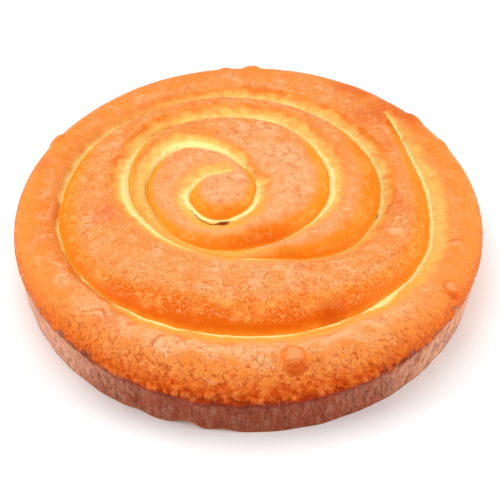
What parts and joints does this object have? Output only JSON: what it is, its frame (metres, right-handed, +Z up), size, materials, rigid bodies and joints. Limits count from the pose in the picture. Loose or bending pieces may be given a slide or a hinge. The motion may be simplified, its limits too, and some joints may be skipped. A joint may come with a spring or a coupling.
{
  "type": "cheesecake",
  "caption": "Whole round baked cheesecake with a coiled golden crust, a low domed top, a steep brown side and a flat base.",
  "frame": {"origin": "centre of the flat base, on the surface it stands on", "axes": "+Z up out of the top, +Y towards the back, +X towards the side where the coil ends at the rim"},
  "size_m": [0.24, 0.243, 0.04],
  "materials": {
    "crust": "satin"
  },
  "bodies": {
    "root": {"cheesecake": "crust"}
  },
  "joints": []
}
